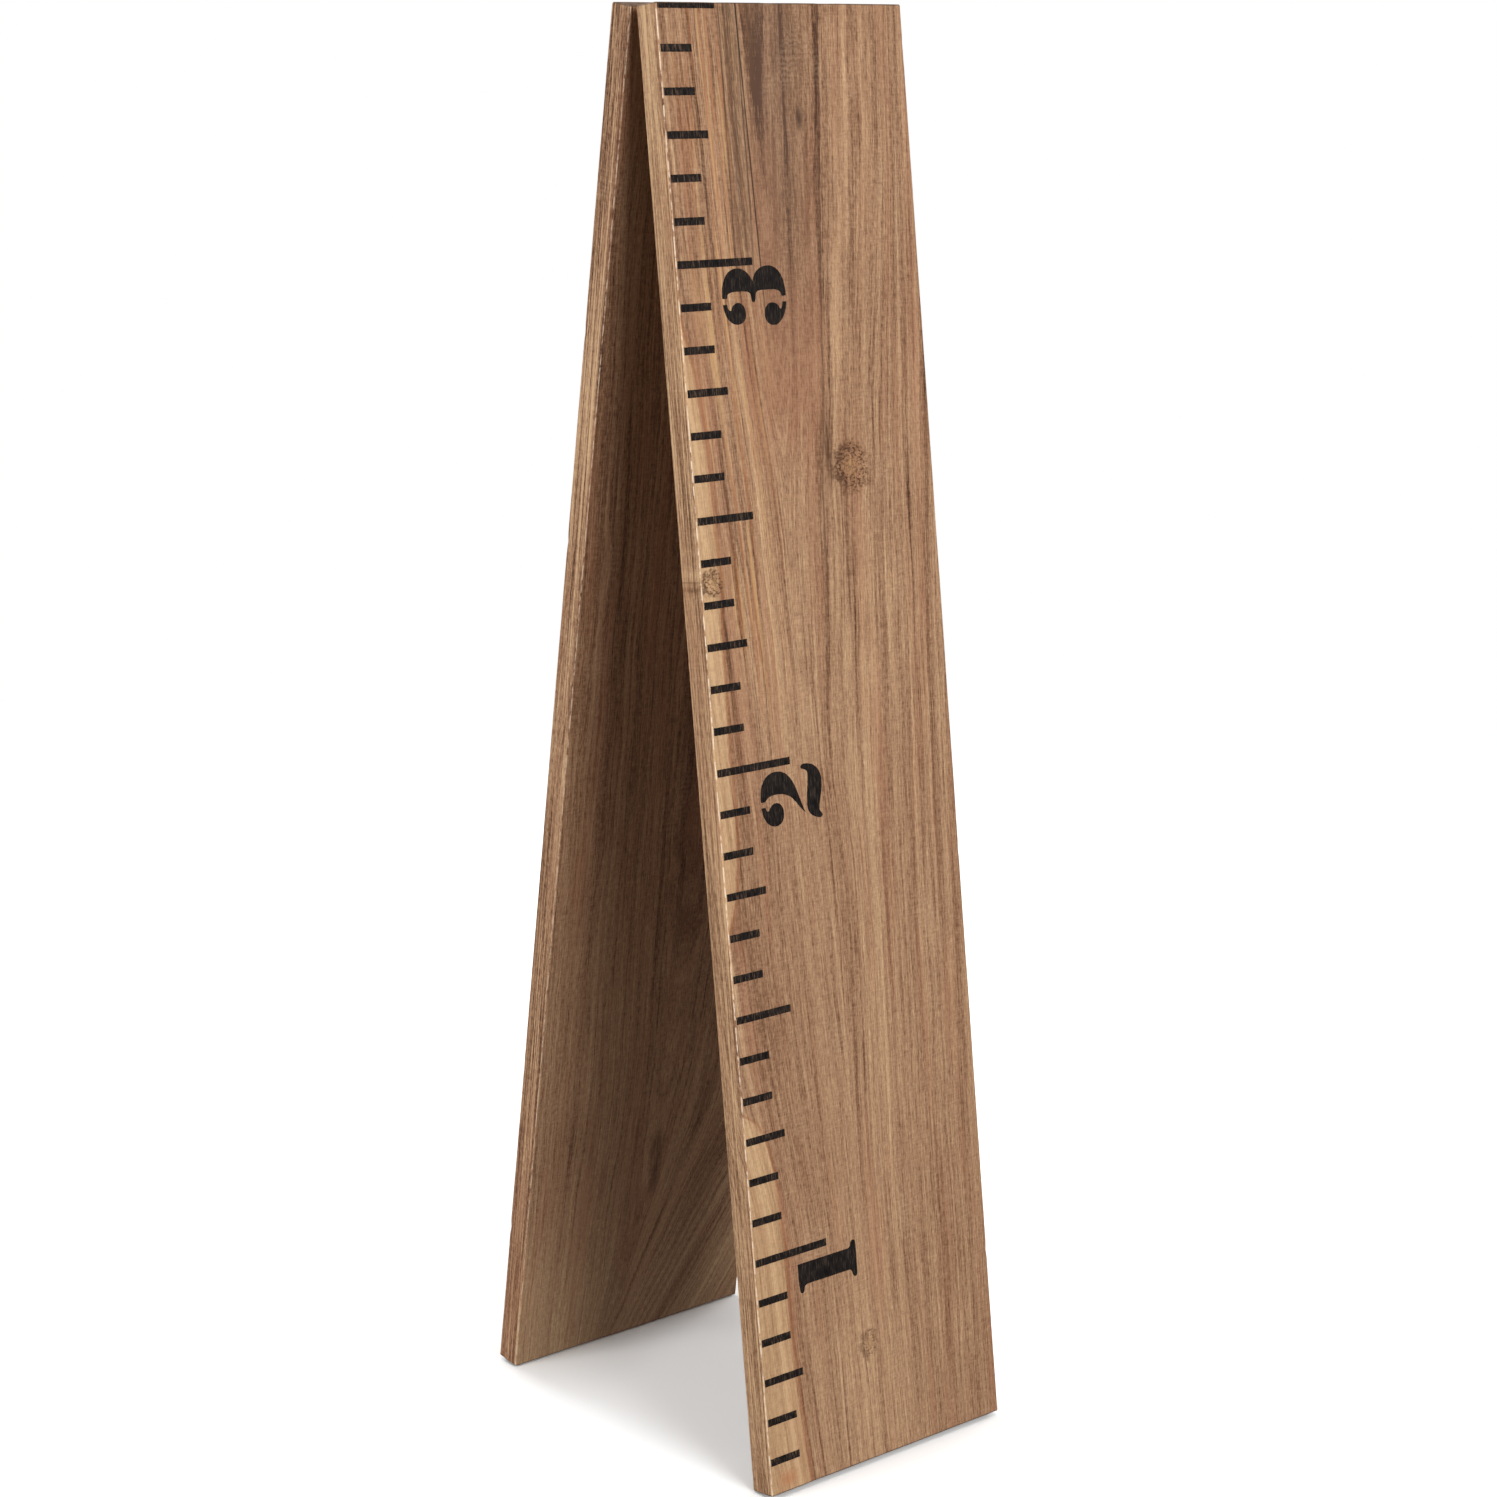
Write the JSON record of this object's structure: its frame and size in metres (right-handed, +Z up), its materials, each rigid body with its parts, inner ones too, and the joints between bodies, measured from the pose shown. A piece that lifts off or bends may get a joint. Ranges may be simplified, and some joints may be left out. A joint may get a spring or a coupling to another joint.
{
  "type": "folding height rule",
  "caption": "Folding wooden ruler for measuring height: long planks hinged end to end, with painted inch marks and stencilled foot numerals.",
  "frame": {"origin": "on the floor, midway between the two feet of the standing rule and midway across its width", "axes": "+Z up, +X along the fold's axis, -Y out of the scale face of the lower half, which stands in front"},
  "size_m": [0.2, 0.2795, 0.9063],
  "materials": {
    "board_wood": "stained and waxed, low sheen",
    "scale_paint": "matte near-black stencil paint",
    "hinge_brass": "satin brass plate",
    "pin_steel": "plain drawn wire",
    "screw_brass": "satin brass plate"
  },
  "bodies": {
    "lower_half": {"lower_board": "board_wood", "left_hinge_lower_leaf": "hinge_brass", "left_hinge_pin": "pin_steel", "left_hinge_lower_screw_1": "screw_brass", "left_hinge_lower_screw_2": "screw_brass", "left_hinge_lower_screw_3": "screw_brass", "right_hinge_lower_leaf": "hinge_brass", "right_hinge_pin": "pin_steel", "right_hinge_lower_screw_1": "screw_brass", "right_hinge_lower_screw_2": "screw_brass", "right_hinge_lower_screw_3": "screw_brass"},
    "upper_half": {"upper_board": "board_wood", "left_hinge_upper_leaf": "hinge_brass", "left_hinge_upper_screw_1": "screw_brass", "left_hinge_upper_screw_2": "screw_brass", "left_hinge_upper_screw_3": "screw_brass", "right_hinge_upper_leaf": "hinge_brass", "right_hinge_upper_screw_1": "screw_brass", "right_hinge_upper_screw_2": "screw_brass", "right_hinge_upper_screw_3": "screw_brass"}
  },
  "joints": [
    {"name": "fold", "type": "hinge", "parent": "lower_half", "child": "upper_half", "pos_m": [0, 0, 0.90397], "axis": [1, 0, 0], "range_deg": [-15.06, 164.94]}
  ]
}
